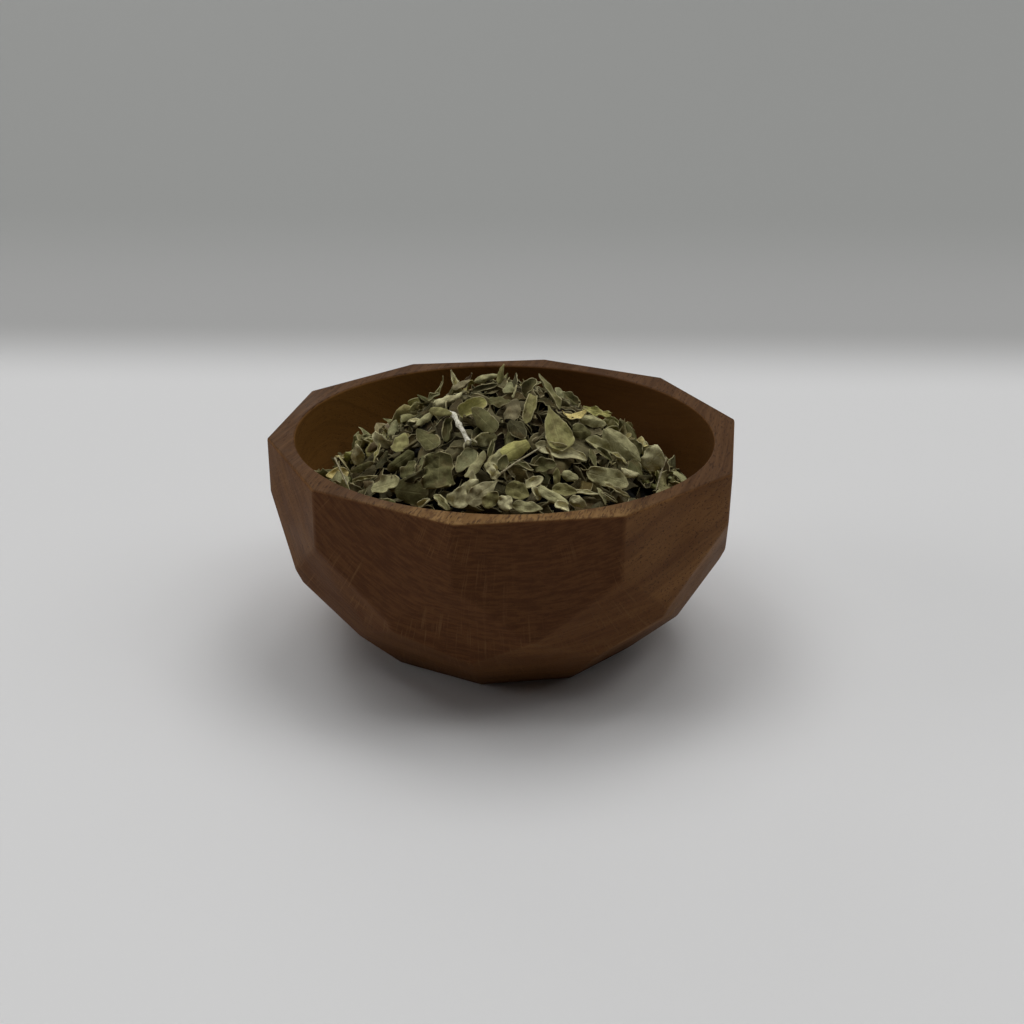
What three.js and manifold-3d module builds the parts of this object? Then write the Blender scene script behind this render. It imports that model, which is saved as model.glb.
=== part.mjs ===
// A hand-faceted wooden bowl heaped with dried leaves of broad-leaved thyme.
// Millimetres, +Z up. The origin is the centre of the bowl's flat base, on the surface that it
// stands on, and the front of the bowl faces -Y.

import * as THREE from 'three';
import { mergeVertices } from 'three/addons/utils/BufferGeometryUtils.js';
import Module from 'manifold-3d';

const wasm = await Module();
wasm.setup();

// Driving dimensions of the bowl
const bowlHeight = 58.3;
const mouthRadius = 57;
const mouthCentre = new THREE.Vector2(-0.4, -0.4);
const hollowDepth = 50.5;
const hollowFullness = 2.5;
const cutsPerRing = 10;
const firstCorner = 7.8;

// The outside is three rings of flat cuts. Each plane of a ring lies at its reach from the centre
// of the mouth and leans in by its lean, in degrees below the horizon. The cuts were made by hand,
// so each strays a little in direction, in degrees, and in reach.
const cutStep = 360 / cutsPerRing;
const cutRings = [
  {
    reach: 62, lean: 0, first: firstCorner + cutStep / 2,
    strayTurn: [-1, 2, 0.5, 0, 0.5, -0.5, -1.5, 0.5, -1, 1],
    strayDepth: [0.5, 0.6, -0.5, 0.2, 0.1, -0.2, -0.1, -0.3, -0.1, -0.1],
  },
  {
    reach: 66.2, lean: 22.3, first: firstCorner,
    strayTurn: [0, 0.5, -0.5, 0.5, 0, 0, 0, -1.6, 0, -1],
    strayDepth: [0, -0.2, 0.2, 0, -0.2, -0.2, -0.2, 0.6, 0.3, -0.3],
  },
  {
    reach: 67.2, lean: 43.9, first: firstCorner + cutStep / 2,
    strayTurn: [0.5, -0.5, 0, 1, 0, -0.4, 1.1, 1.2, 0.7, 0.2],
    strayDepth: [0, -0.2, 0, 0.2, 0, 0, 0, 0, 0, 0],
  },
];

// Driving dimensions of the heap, with heights measured from the plane of the rim. The leaves
// keep clear of the wall by the wall gap, and the core under them by the core gap.
const wallGap = 0.3;
const coreGap = 0.8;
const heapTop = 13.6;
const heapAtWall = -24.2;
const heapPower = 1.6;
const leafCount = 165;
const leafLength = { least: 10.5, most: 14.5 };
const leafThickness = 0.75;
const rootDepth = 2.4;
const turnsTried = 30;
const looseGap = 0.35;

// Sides of the round shapes
const mouthSides = 60;
const leafLimitSides = 48;
const coreSides = 30;

const degrees = THREE.MathUtils.degToRad;
const upAxis = new THREE.Vector3(0, 0, 1);

// Random numbers that come out the same in each run
function seededRandom(seed) {
  let state = seed;
  return function next() {
    state = (state + 0x6d2b79f5) | 0;
    let mixed = Math.imul(state ^ (state >>> 15), 1 | state);
    mixed = (mixed + Math.imul(mixed ^ (mixed >>> 7), 61 | mixed)) ^ mixed;
    return ((mixed ^ (mixed >>> 14)) >>> 0) / 4294967296;
  };
}

const random = seededRandom(41);
const between = (low, high) => low + (high - low) * random();

// A closed geometry as a solid that can be joined and cut
function toSolid(geometry) {
  const bare = geometry.clone();
  bare.deleteAttribute('normal');
  bare.deleteAttribute('uv');
  const merged = mergeVertices(bare, 1e-4);
  const corners = merged.index.array;
  const triangles = [];
  for (let i = 0; i < corners.length; i += 3) {
    const [a, b, c] = corners.slice(i, i + 3);
    if (a !== b && b !== c && c !== a) triangles.push(a, b, c);
  }
  return new wasm.Manifold(new wasm.Mesh({
    numProp: 3,
    vertProperties: new Float32Array(merged.attributes.position.array),
    triVerts: new Uint32Array(triangles),
  }));
}

function toGeometry(solid) {
  const mesh = solid.getMesh();
  const geometry = new THREE.BufferGeometry();
  geometry.setAttribute('position', new THREE.BufferAttribute(mesh.vertProperties, 3));
  geometry.setIndex(new THREE.BufferAttribute(mesh.triVerts, 1));
  return geometry;
}

// The largest body of a solid, without loose scraps and sealed hollows
function mainBody(solid) {
  const bodies = solid.decompose();
  return bodies.reduce((largest, body) => (body.volume() > largest.volume() ? body : largest));
}

// A solid of revolution about a vertical axis, from a profile of [radius, height] pairs
function turned(profile, segments) {
  const points = profile.map(([radius, height]) => new THREE.Vector2(radius, height));
  return new THREE.LatheGeometry(points, segments).rotateX(Math.PI / 2);
}

// The bowl

// The hollow is a full round bowl: a superellipse in section, steep under the rim
function hollowRadius(depth, inset = 0) {
  const share = Math.min(depth / (hollowDepth - inset), 1);
  return (mouthRadius - inset) * (1 - share ** hollowFullness) ** (1 / hollowFullness);
}

// Points of the hollow's section, from the bottom up to a depth below the rim
function hollowProfile(steps, topDepth, inset = 0) {
  const bottom = hollowDepth - inset;
  const profile = [];
  for (let i = 0; i < steps; i += 1) {
    const angle = (i / steps) * (Math.PI / 2);
    const depth = topDepth + (bottom - topDepth) * Math.cos(angle);
    profile.push([hollowRadius(depth, inset), bowlHeight - depth]);
  }
  profile.push([hollowRadius(topDepth, inset), bowlHeight - topDepth]);
  return profile;
}

// A block that takes away all that lies beyond one flat cut
function cutBlock(reach, lean, azimuth) {
  const size = 200;
  const outward = new THREE.Vector3(
    Math.cos(degrees(lean)) * Math.cos(degrees(azimuth)),
    Math.cos(degrees(lean)) * Math.sin(degrees(azimuth)),
    -Math.sin(degrees(lean)),
  );
  const block = new THREE.BoxGeometry(size, size, size);
  block.translate(size / 2, 0, 0);
  block.applyQuaternion(new THREE.Quaternion().setFromUnitVectors(new THREE.Vector3(1, 0, 0), outward));
  const face = outward.multiplyScalar(reach).add(new THREE.Vector3(0, 0, bowlHeight));
  return block.translate(face.x, face.y, face.z);
}

function bowlGeometry() {
  const blankRadius = 75;
  const blank = new THREE.CylinderGeometry(blankRadius, blankRadius, bowlHeight, 24);
  blank.rotateX(Math.PI / 2).translate(0, 0, bowlHeight / 2);
  let bowl = toSolid(blank);
  for (const ring of cutRings) {
    for (let i = 0; i < cutsPerRing; i += 1) {
      const azimuth = ring.first + i * cutStep + ring.strayTurn[i];
      const reach = ring.reach + ring.strayDepth[i];
      bowl = bowl.subtract(toSolid(cutBlock(reach, ring.lean, azimuth)));
    }
  }
  const aboveRim = bowlHeight + 10;
  const profile = hollowProfile(10, 0);
  profile.push([mouthRadius, aboveRim], [0, aboveRim]);
  const hollow = turned(profile, mouthSides).translate(mouthCentre.x, mouthCentre.y, 0);
  return toGeometry(bowl.subtract(toSolid(hollow)));
}

// The leaves

// A dried leaf as a thin curved blade with a pointed tip. It lies along +X from its base, its
// upper face is up, and its rows of three points are the left edge, the midrib and the right edge.
// Both faces are split alike.
function leafBlade({ length, width, arch, cup, twist, thickness, grow = 0 }) {
  const rows = [[0.28, 0.88], [0.66, 0.92]];
  const middle = [];
  const rise = (along) => arch * length * 4 * along * (1 - along);
  middle.push(new THREE.Vector3(-grow, 0, rise(0)));
  for (const [along, share] of rows) {
    const half = (width / 2) * share + grow;
    const turn = twist * (along - 0.5);
    for (const side of [1, 0, -1]) {
      const across = side * half * Math.cos(turn);
      const lift = Math.abs(side) * cup * half + side * half * Math.sin(turn);
      middle.push(new THREE.Vector3(along * length, across, rise(along) + lift));
    }
  }
  middle.push(new THREE.Vector3(length + grow, 0, rise(1)));

  const tip = middle.length - 1;
  const faces = [[0, 2, 1], [0, 3, 2], [tip, tip - 3, tip - 2], [tip, tip - 2, tip - 1]];
  for (let row = 0; row < rows.length - 1; row += 1) {
    const first = 1 + 3 * row;
    for (const left of [first, first + 1]) {
      faces.push([left, left + 1, left + 4], [left, left + 4, left + 3]);
    }
  }
  const rim = [0, 3, 6, tip, 4, 1];

  const positions = [];
  for (const side of [1, -1]) {
    for (const point of middle) positions.push(point.x, point.y, point.z + (side * thickness) / 2);
  }
  const below = middle.length;
  const index = [];
  for (const [a, b, c] of faces) index.push(a, b, c, below + c, below + b, below + a);
  rim.forEach((here, i) => {
    const next = rim[(i + 1) % rim.length];
    index.push(here, below + here, below + next, here, below + next, next);
  });
  const geometry = new THREE.BufferGeometry();
  geometry.setAttribute('position', new THREE.Float32BufferAttribute(positions, 3));
  geometry.setIndex(index);
  geometry.userData.faces = faces;
  return geometry;
}

// Height of the heap's core over a point of the plan, and the way its surface faces there
const heapEdge = hollowRadius(-heapAtWall, coreGap);

function heapHeight(radius) {
  const share = Math.min(radius / heapEdge, 1) ** heapPower;
  return bowlHeight + heapAtWall + (heapTop - heapAtWall) * (1 - share);
}

function heapNormal(x, y) {
  const radius = Math.hypot(x, y);
  const step = 0.5;
  const slope = (heapHeight(radius + step) - heapHeight(Math.max(radius - step, 0))) / (2 * step);
  const outward = new THREE.Vector3(x, y, 0).normalize();
  return outward.multiplyScalar(-slope).add(upAxis).normalize();
}

// Turns a blade so that it grows out of a point in a direction, with its upper face to one side
function placeBlade(blade, point, along, upper) {
  const across = new THREE.Vector3().crossVectors(upper, along).normalize();
  const faceUp = new THREE.Vector3().crossVectors(along, across);
  const frame = new THREE.Matrix4().makeBasis(along, across, faceUp).setPosition(point);
  return blade.applyMatrix4(frame);
}

// A leaf that grows out of the heap at a point of the plan, turned at random
function heapLeaf(x, y) {
  const normal = heapNormal(x, y);
  const surface = new THREE.Vector3(x, y, heapHeight(Math.hypot(x, y)));
  const level = new THREE.Vector3(1, 0, 0).applyAxisAngle(upAxis, between(0, 2 * Math.PI));
  const flat = level.sub(normal.clone().multiplyScalar(level.dot(normal))).normalize();
  const pitch = degrees(between(10, 48));
  const along = flat.clone().multiplyScalar(Math.cos(pitch)).addScaledVector(normal, Math.sin(pitch));
  const upper = normal.clone().applyAxisAngle(along, degrees(between(-40, 40)));
  const length = between(leafLength.least, leafLength.most);
  const blade = leafBlade({
    length,
    width: length * between(0.58, 0.74),
    arch: between(-0.12, 0.16),
    cup: between(-0.35, 0.45),
    twist: between(-0.5, 0.5),
    thickness: leafThickness,
  });
  return placeBlade(blade, surface.addScaledVector(along, -rootDepth), along, upper);
}

// The upper face of a blade as triangles of three points each
function upperFace(blade) {
  const position = blade.attributes.position;
  const point = (i) => new THREE.Vector3().fromBufferAttribute(position, i);
  return blade.userData.faces.map((face) => face.map(point));
}

// How often the edges of one set of triangles pass through another set
function crossings(edged, pierced) {
  const ray = new THREE.Ray();
  const hit = new THREE.Vector3();
  let count = 0;
  for (const corners of edged) {
    corners.forEach((start, i) => {
      const end = corners[(i + 1) % 3];
      const reach = start.distanceTo(end);
      ray.set(start, end.clone().sub(start).normalize());
      for (const [a, b, c] of pierced) {
        if (ray.intersectTriangle(a, b, c, false, hit) && hit.distanceTo(start) < reach) count += 1;
      }
    });
  }
  return count;
}

// Of several turns of a leaf, the one that crosses the leaves around it least
function freestLeaf(x, y, placed) {
  const near = placed.filter((other) => Math.hypot(other.x - x, other.y - y) < 1.6 * leafLength.most);
  let best = null;
  for (let i = 0; i < turnsTried; i += 1) {
    const blade = heapLeaf(x, y);
    const face = upperFace(blade);
    let crossed = 0;
    for (const other of near) crossed += crossings(face, other.face) + crossings(other.face, face);
    if (best === null || crossed < best.crossed) best = { blade, face, crossed, x, y };
    if (crossed === 0) break;
  }
  return best;
}

// The heap fills the hollow, with a gap to the wall, and its leaves stand out of a smaller core.
// The leaves are spread evenly over it in a sunflower spiral, and each points its own way.
function heapSolid() {
  const profile = hollowProfile(6, -heapAtWall, coreGap);
  const rings = 5;
  for (let i = 1; i <= rings; i += 1) {
    const radius = heapEdge * (1 - i / rings);
    profile.push([radius, heapHeight(radius)]);
  }
  let heap = toSolid(turned(profile, coreSides).translate(mouthCentre.x, mouthCentre.y, 0));

  const goldenAngle = Math.PI * (3 - Math.sqrt(5));
  const placed = [];
  for (let i = 0; i < leafCount; i += 1) {
    const radius = (heapEdge - 1.5) * Math.sqrt((i + 0.5) / leafCount) + between(-1, 1);
    const angle = i * goldenAngle + between(-0.08, 0.08);
    const leaf = freestLeaf(radius * Math.cos(angle), radius * Math.sin(angle), placed);
    placed.push(leaf);
    heap = heap.add(toSolid(leaf.blade));
  }

  const inside = hollowProfile(8, 0, wallGap);
  inside.push([mouthRadius - wallGap, bowlHeight + 40], [0, bowlHeight + 40]);
  return heap.intersect(toSolid(turned(inside, leafLimitSides).translate(mouthCentre.x, mouthCentre.y, 0)));
}

// Twigs and stems

// A stalk along a smooth line through points, with a section of a few sides
function stalk(points, radius, sides, steps) {
  const section = new THREE.Shape();
  for (let i = 0; i < sides; i += 1) {
    const angle = (i / sides) * 2 * Math.PI;
    const corner = [radius * Math.cos(angle), radius * Math.sin(angle)];
    if (i === 0) section.moveTo(...corner);
    else section.lineTo(...corner);
  }
  section.closePath();
  const path = new THREE.CatmullRomCurve3(points.map(([x, y, z]) => new THREE.Vector3(x, y, z)));
  return new THREE.ExtrudeGeometry(section, { steps, bevelEnabled: false, extrudePath: path });
}

// A knot of dry buds on a twig
function knot([x, y, z], radius) {
  return new THREE.SphereGeometry(radius, 6, 4).scale(1, 0.85, 0.9).translate(x, y, z);
}

// The pale woolly twig that lies on the front of the heap, with knots where leaves broke off
function woollyTwig(fatter) {
  const line = [[-18.2, -10.3, 67.5], [-15.6, -13.4, 67.8], [-13.7, -15.7, 67.7], [-12.4, -19.1, 66.6],
    [-10.9, -22.2, 65.3], [-9.4, -25.5, 63.4]];
  const knots = [[-13.7, -15.7, 67.7, 0.95], [-12.2, -19.6, 66.4, 1], [-9.6, -25, 63.7, 1.4]];
  let twig = toSolid(stalk(line, 0.66 + fatter, 6, 12));
  for (const [x, y, z, radius] of knots) twig = twig.add(toSolid(knot([x, y, z], radius + fatter)));
  return twig;
}

function longStem(fatter) {
  const line = [[-1.3, -32.9, 58.5], [2, -30.9, 60.3], [5.6, -28.5, 61.8], [8.9, -26.1, 63]];
  return toSolid(stalk(line, 0.4 + fatter, 5, 8));
}

function leftStem(fatter) {
  const line = [[-46.4, -8.3, 52.5], [-45.1, -10.7, 50.9], [-43.5, -13.1, 48.8], [-41.3, -16.6, 45.5]];
  return toSolid(stalk(line, 0.45 + fatter, 5, 8));
}

function rightStem(fatter) {
  const line = [[43.3, -8.6, 53.5], [42.1, -11.1, 51.1], [41.4, -12.7, 49.6], [40.2, -15.7, 46.8]];
  return toSolid(stalk(line, 0.45 + fatter, 5, 8));
}

// Single leaves that lie loose on the heap, each from its base towards its tip
function looseLeaf({ base, tip, width, arch, cup, upper }, fatter) {
  const from = new THREE.Vector3(...base);
  const along = new THREE.Vector3(...tip).sub(from);
  const length = along.length();
  const thickness = leafThickness + 2 * fatter;
  const blade = leafBlade({ length, width, arch, cup, twist: 0, thickness, grow: fatter });
  return toSolid(placeBlade(blade, from, along.normalize(), new THREE.Vector3(...upper)));
}

const largeLeaf = {
  base: [11.7, -13.5, 70], tip: [16.3, -24, 61.4], width: 8.4, arch: 0.05, cup: 0.12,
  upper: [0.3, -0.75, 0.6],
};
const yellowLeaf = {
  base: [14.8, -12.7, 68.1], tip: [21.1, -9.9, 67.2], width: 3.4, arch: -0.2, cup: 0.1,
  upper: [0.1, -0.5, 0.85],
};

// Colours, roughness and metalness of the materials
function finish(colour, roughness) {
  return new THREE.MeshStandardMaterial({ color: colour, roughness, metalness: 0 });
}

const finishes = {
  wood: finish('#5a3219', 0.55),
  leaf: finish('#6c7150', 0.85),
  paleLeaf: finish('#838a5e', 0.85),
  yellow: finish('#b3a763', 0.85),
  wool: finish('#c3c1b4', 0.95),
  straw: finish('#a39a78', 0.85),
};

const model = new THREE.Group();

function addNode(name, geometry, material) {
  const mesh = new THREE.Mesh(geometry, material);
  mesh.name = name;
  model.add(mesh);
}

addNode('bowl', bowlGeometry(), finishes.wood);

const loosePieces = [
  { name: 'woolly_twig', make: woollyTwig, material: finishes.wool },
  { name: 'long_stem', make: longStem, material: finishes.straw },
  { name: 'left_stem', make: leftStem, material: finishes.straw },
  { name: 'right_stem', make: rightStem, material: finishes.straw },
  { name: 'large_leaf', make: (fatter) => looseLeaf(largeLeaf, fatter), material: finishes.paleLeaf },
  { name: 'yellow_leaf', make: (fatter) => looseLeaf(yellowLeaf, fatter), material: finishes.yellow },
];

// The loose pieces lie in dents of the heap that are a gap wider than they are
let heap = heapSolid();
for (const { name, make, material } of loosePieces) {
  heap = heap.subtract(make(looseGap));
  addNode(name, toGeometry(make(0)), material);
}
addNode('leaf_heap', toGeometry(mainBody(heap)), finishes.leaf);

export default model;
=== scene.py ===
"""A hand-faceted wooden bowl heaped with dried leaves of broad-leaved thyme.

The pieces are worked out in millimetres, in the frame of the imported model: the origin is the
centre of the bowl's flat base, +Z is up and the front faces -Y. Meshes are made in metres.
"""

import math

import bmesh
import bpy
import numpy as np
from mathutils import Matrix, Vector


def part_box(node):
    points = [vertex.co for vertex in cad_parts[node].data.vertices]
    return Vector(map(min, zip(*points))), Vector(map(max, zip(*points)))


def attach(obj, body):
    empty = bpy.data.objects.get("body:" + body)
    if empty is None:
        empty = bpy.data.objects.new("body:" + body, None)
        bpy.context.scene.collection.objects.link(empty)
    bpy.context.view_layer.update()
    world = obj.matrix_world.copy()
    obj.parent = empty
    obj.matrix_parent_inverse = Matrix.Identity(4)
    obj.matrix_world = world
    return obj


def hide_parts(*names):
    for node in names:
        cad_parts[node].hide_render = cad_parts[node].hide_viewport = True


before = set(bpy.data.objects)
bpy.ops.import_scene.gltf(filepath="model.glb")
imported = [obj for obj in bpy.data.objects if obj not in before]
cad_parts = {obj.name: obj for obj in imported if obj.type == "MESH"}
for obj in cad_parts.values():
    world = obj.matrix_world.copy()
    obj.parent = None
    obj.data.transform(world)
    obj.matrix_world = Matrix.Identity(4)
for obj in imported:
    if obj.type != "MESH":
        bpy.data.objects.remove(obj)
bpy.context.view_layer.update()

MM = 0.001

# The bowl, as it was turned and cut
BOWL_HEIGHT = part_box("bowl")[1].z / MM
MOUTH_RADIUS = 57.0
MOUTH_CENTRE = np.array([-0.4, -0.4])
HOLLOW_DEPTH = 50.5
HOLLOW_FULLNESS = 2.5
MOUTH_ROUNDING = 0.7
EDGE_ROUNDING = 0.8

# The wood: which way its grain runs, and where the heart of the tree lay
GRAIN_AZIMUTH = 75.0
GRAIN_HEART_RIGHT = 15.0
GRAIN_HEART_HEIGHT = 110.0

# The heap, with heights measured from the plane of the rim
HEAP_TOP = 16.8
HEAP_AT_WALL = -21.7
HEAP_POWER = 1.6
WALL_GAP = 0.35
CORE_DEPTH = 9.0

# The photograph's camera, and the side of its picture in pixels
CAMERA_PLACE = np.array([0.0, -352.19, 189.28])
CAMERA_PITCH = math.radians(23.888)
CAMERA_ROLL = math.radians(0.643)
CAMERA_YAW = math.radians(0.296)
LENS = 48.0
SENSOR = 36.0
PHOTO_SIDE = 1024
NEAR_CLIP = 0.01
FAR_CLIP = 50

rng = np.random.default_rng(29)


# Camera, floor and light

def put_in_scene(name, data):
    made = bpy.data.objects.new(name, data)
    bpy.context.scene.collection.objects.link(made)
    return made


def unit(vector):
    return vector / np.linalg.norm(vector)


def camera_turn():
    """The camera's rotation: it looks along its own -Z, with +Y up in the picture."""
    heading = Matrix.Rotation(-CAMERA_YAW, 3, "Z")
    tilt = Matrix.Rotation(math.pi / 2 - CAMERA_PITCH, 3, "X")
    roll = Matrix.Rotation(CAMERA_ROLL, 3, "Z")
    return heading @ tilt @ roll


def make_camera():
    camera = put_in_scene("camera", bpy.data.cameras.new("camera"))
    camera.data.lens = LENS
    camera.data.sensor_width = SENSOR
    camera.data.clip_start = NEAR_CLIP
    camera.data.clip_end = FAR_CLIP
    camera.matrix_world = Matrix.LocRotScale(Vector(CAMERA_PLACE * MM), camera_turn(), None)
    bpy.context.scene.camera = camera


def pixel_ray(pixel):
    """Direction from the camera through a pixel of the photograph."""
    middle = PHOTO_SIDE / 2
    focal = LENS / SENSOR * PHOTO_SIDE
    seen = Vector((pixel[0] - middle, middle - pixel[1], -focal))
    return np.array((camera_turn() @ seen).normalized())


class Shader:
    """A material's nodes, added and linked by short calls."""

    def __init__(self, name, **values):
        self.material = bpy.data.materials.new(name)
        self.material.use_nodes = True
        self.tree = self.material.node_tree
        self.surface = self.tree.nodes["Principled BSDF"]
        for socket, value in values.items():
            self.surface.inputs[socket.replace("_", " ")].default_value = value
        self.place = self.add("TexCoord", output="Object")

    def add(self, kind, output=0, inputs=None, **settings):
        node = self.tree.nodes.new("ShaderNode" + kind)
        for name, value in settings.items():
            setattr(node, name, value)
        for name, value in (inputs or {}).items():
            if isinstance(value, bpy.types.NodeSocket):
                self.tree.links.new(value, node.inputs[name])
            else:
                node.inputs[name].default_value = value
        return node.outputs[output]

    def axis(self, name, vector=None):
        """One part of a vector, or of the place on the piece."""
        return self.add("SeparateXYZ", name, {"Vector": vector or self.place})

    def vector(self, operation, first, second=(0.0, 0.0, 0.0), output="Vector"):
        return self.add("VectorMath", output, {0: first, 1: second}, operation=operation)

    def math(self, operation, first, second=0.5):
        return self.add("Math", inputs={0: first, 1: second}, operation=operation)

    def times(self, first, second):
        return self.math("MULTIPLY", first, second)

    def span(self, value, low, high, start=0.0, end=1.0):
        """A value that goes smoothly from start to end as another goes from low to high."""
        inputs = {"Value": value, "From Min": low, "From Max": high, "To Min": start, "To Max": end}
        return self.add("MapRange", inputs=inputs, interpolation_type="SMOOTHSTEP")

    def mix(self, share, first, second, blend="MIX"):
        inputs = {0: share, 6: first, 7: second}
        return self.add("Mix", 2, inputs, data_type="RGBA", blend_type=blend)

    def tone(self, value, low, high, first, second, most=1.0):
        """A colour that turns into another, or mostly so, as a value goes from low to high."""
        return self.mix(self.span(value, low, high, 0.0, most), first, second)

    def noise(self, place, scale, detail=3.0, roughness=0.55, output=0):
        inputs = {"Vector": place, "Scale": scale, "Detail": detail, "Roughness": roughness}
        return self.add("TexNoise", output, inputs)

    def stretch(self, place, scale, turn=0.0):
        inputs = {"Vector": place, "Scale": scale, "Rotation": (0.0, 0.0, turn)}
        return self.add("Mapping", inputs=inputs)

    def bump(self, height, distance, strength):
        return self.add("Bump", inputs={"Height": height, "Distance": distance, "Strength": strength})

    def set(self, **sockets):
        for name, value in sockets.items():
            self.tree.links.new(value, self.surface.inputs[name.replace("_", " ")])
        return self.material


def srgb(red, green, blue):
    """A colour given as it looks on a screen, from 0 to 255, as a shader's linear colour."""
    def linear(value):
        value /= 255
        return value / 12.92 if value <= 0.04045 else ((value + 0.055) / 1.055) ** 2.4
    return (linear(red), linear(green), linear(blue), 1.0)


def mesh_object(name, points, faces, material, smooth_below=None):
    """A piece from points in millimetres and faces as lists of point numbers."""
    mesh = bpy.data.meshes.new(name)
    mesh.from_pydata((np.asarray(points) * MM).tolist(), [], faces)
    mesh.validate()
    mesh.update()
    piece = put_in_scene(name, mesh)
    mesh.materials.append(material)
    if smooth_below is not None:
        mesh.shade_smooth()
        mesh.set_sharp_from_angle(angle=math.radians(smooth_below))
    return piece


FLOOR_REACH = 12000.0


def floor_material():
    """A pale satin table that turns greyer behind, past a soft straight line: painted shade that stands in
    for an upright backdrop lit less than the table.
    """
    shader = Shader("pale_floor", Roughness=0.8, Specular_IOR_Level=0.1)
    depth = shader.axis("Y")
    # Greyer behind the soft line: painted shade of an upright backdrop
    colour = shader.tone(depth, 0.205, 0.305, srgb(225, 225, 225), srgb(173, 173, 172))
    colour = shader.tone(depth, 0.3, 0.6, colour, srgb(159, 160, 158))
    return shader.set(Base_Color=colour)


def make_stage():
    corners = [(x * FLOOR_REACH, y * FLOOR_REACH, 0) for x, y in ((-1, -1), (1, -1), (1, 1), (-1, 1))]
    floor = mesh_object("floor", corners, [(0, 1, 2, 3)], floor_material())


LIGHT_BREADTH = 30
ROOM_STRENGTH = 0.02
WALL_STRENGTH = 0.42
LIGHTS = (
    # degrees above the table, degrees round from the right towards the back, and strength
    ("high_right", 65, 0, 0.48),
    ("high_back_right", 65, 60, 0.58),
    ("high_back_left", 65, 120, 0.56),
    ("high_left", 65, 180, 0.50),
    ("right", 42, 0, 0.30),
    ("back_right", 42, 72, 0.14),
    ("low_back", 20, 108, 0.23),
    ("low_left", 20, 180, 0.45),
)


def make_lights():
    """Broad soft lights that stand in an arch over the bowl, a little behind it."""
    for name, above, round_to, strength in LIGHTS:
        light = bpy.data.lights.new(name, "SUN")
        light.energy = strength
        light.angle = math.radians(LIGHT_BREADTH)
        holder = put_in_scene(name, light)
        holder.rotation_mode = "XYZ"
        holder.rotation_euler = (0.0, math.radians(90 - above), math.radians(round_to))


def make_room():
    """A dim room all round, with a plain grey wall low behind, for views from low down."""
    world = bpy.data.worlds.new("room")
    world.use_nodes = True
    tree = world.node_tree
    place = tree.nodes.new("ShaderNodeTexCoord").outputs["Generated"]
    parts = tree.nodes.new("ShaderNodeSeparateXYZ")
    tree.links.new(place, parts.inputs["Vector"])
    wall = tree.nodes.new("ShaderNodeMapRange")
    wall.interpolation_type = "SMOOTHSTEP"
    tree.links.new(parts.outputs["Z"], wall.inputs["Value"])
    ends = {"From Min": 0.12, "From Max": 0.2, "To Min": WALL_STRENGTH, "To Max": ROOM_STRENGTH}
    for name, value in ends.items():
        wall.inputs[name].default_value = value
    back = tree.nodes["Background"]
    back.inputs["Color"].default_value = srgb(190, 188, 185)
    tree.links.new(wall.outputs["Result"], back.inputs["Strength"])
    bpy.context.scene.world = world


# The bowl

def hollow_radius(depth, inset=0.0):
    """Radius of the hollow at a depth below the rim."""
    share = np.clip(np.asarray(depth, float) / (HOLLOW_DEPTH - inset), 0, 1)
    return (MOUTH_RADIUS - inset) * (1 - share ** HOLLOW_FULLNESS) ** (1 / HOLLOW_FULLNESS)


def tube_faces(rows, sides):
    """Faces of a tube of rows of points, closed at each end by one more point."""
    last = 1 + rows * sides
    faces = []
    for i in range(sides):
        j = (i + 1) % sides
        faces.append((0, 1 + j, 1 + i))
        for low in range(1, last - sides, sides):
            faces.append((low + i, low + j, low + sides + j, low + sides + i))
        faces.append((last - sides + i, last - sides + j, last))
    return faces


def turned_mesh(profile, sides):
    """Points and faces of a solid turned about the mouth's axis, from its lowest point up."""
    angles = np.arange(sides) * 2 * math.pi / sides
    ring = np.stack([np.cos(angles), np.sin(angles)], 1)
    points = [(*MOUTH_CENTRE, profile[0][1])]
    for radius, height in profile[1:-1]:
        points.extend((*(MOUTH_CENTRE + radius * way), height) for way in ring)
    points.append((*MOUTH_CENTRE, profile[-1][1]))
    return points, tube_faces(len(profile) - 2, sides)


def hollow_mesh():
    """The hollow as a solid, flared at the mouth so that it leaves a rounded inner edge."""
    profile = []
    steps = 40
    for i in range(steps):
        depth = MOUTH_ROUNDING + (HOLLOW_DEPTH - MOUTH_ROUNDING) * math.cos(i / steps * math.pi / 2)
        profile.append((float(hollow_radius(depth)), BOWL_HEIGHT - depth))
    edge = float(hollow_radius(MOUTH_ROUNDING))
    flare_steps = 4
    for i in range(flare_steps + 1):
        angle = i / flare_steps * math.pi / 2
        flare = MOUTH_ROUNDING * (1 - math.cos(angle))
        profile.append((edge + flare, BOWL_HEIGHT - MOUTH_ROUNDING * (1 - math.sin(angle))))
    above = BOWL_HEIGHT + 5
    profile.append((edge + MOUTH_ROUNDING, above))
    profile.append((0.0, above))
    return turned_mesh(profile, 180)


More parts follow.
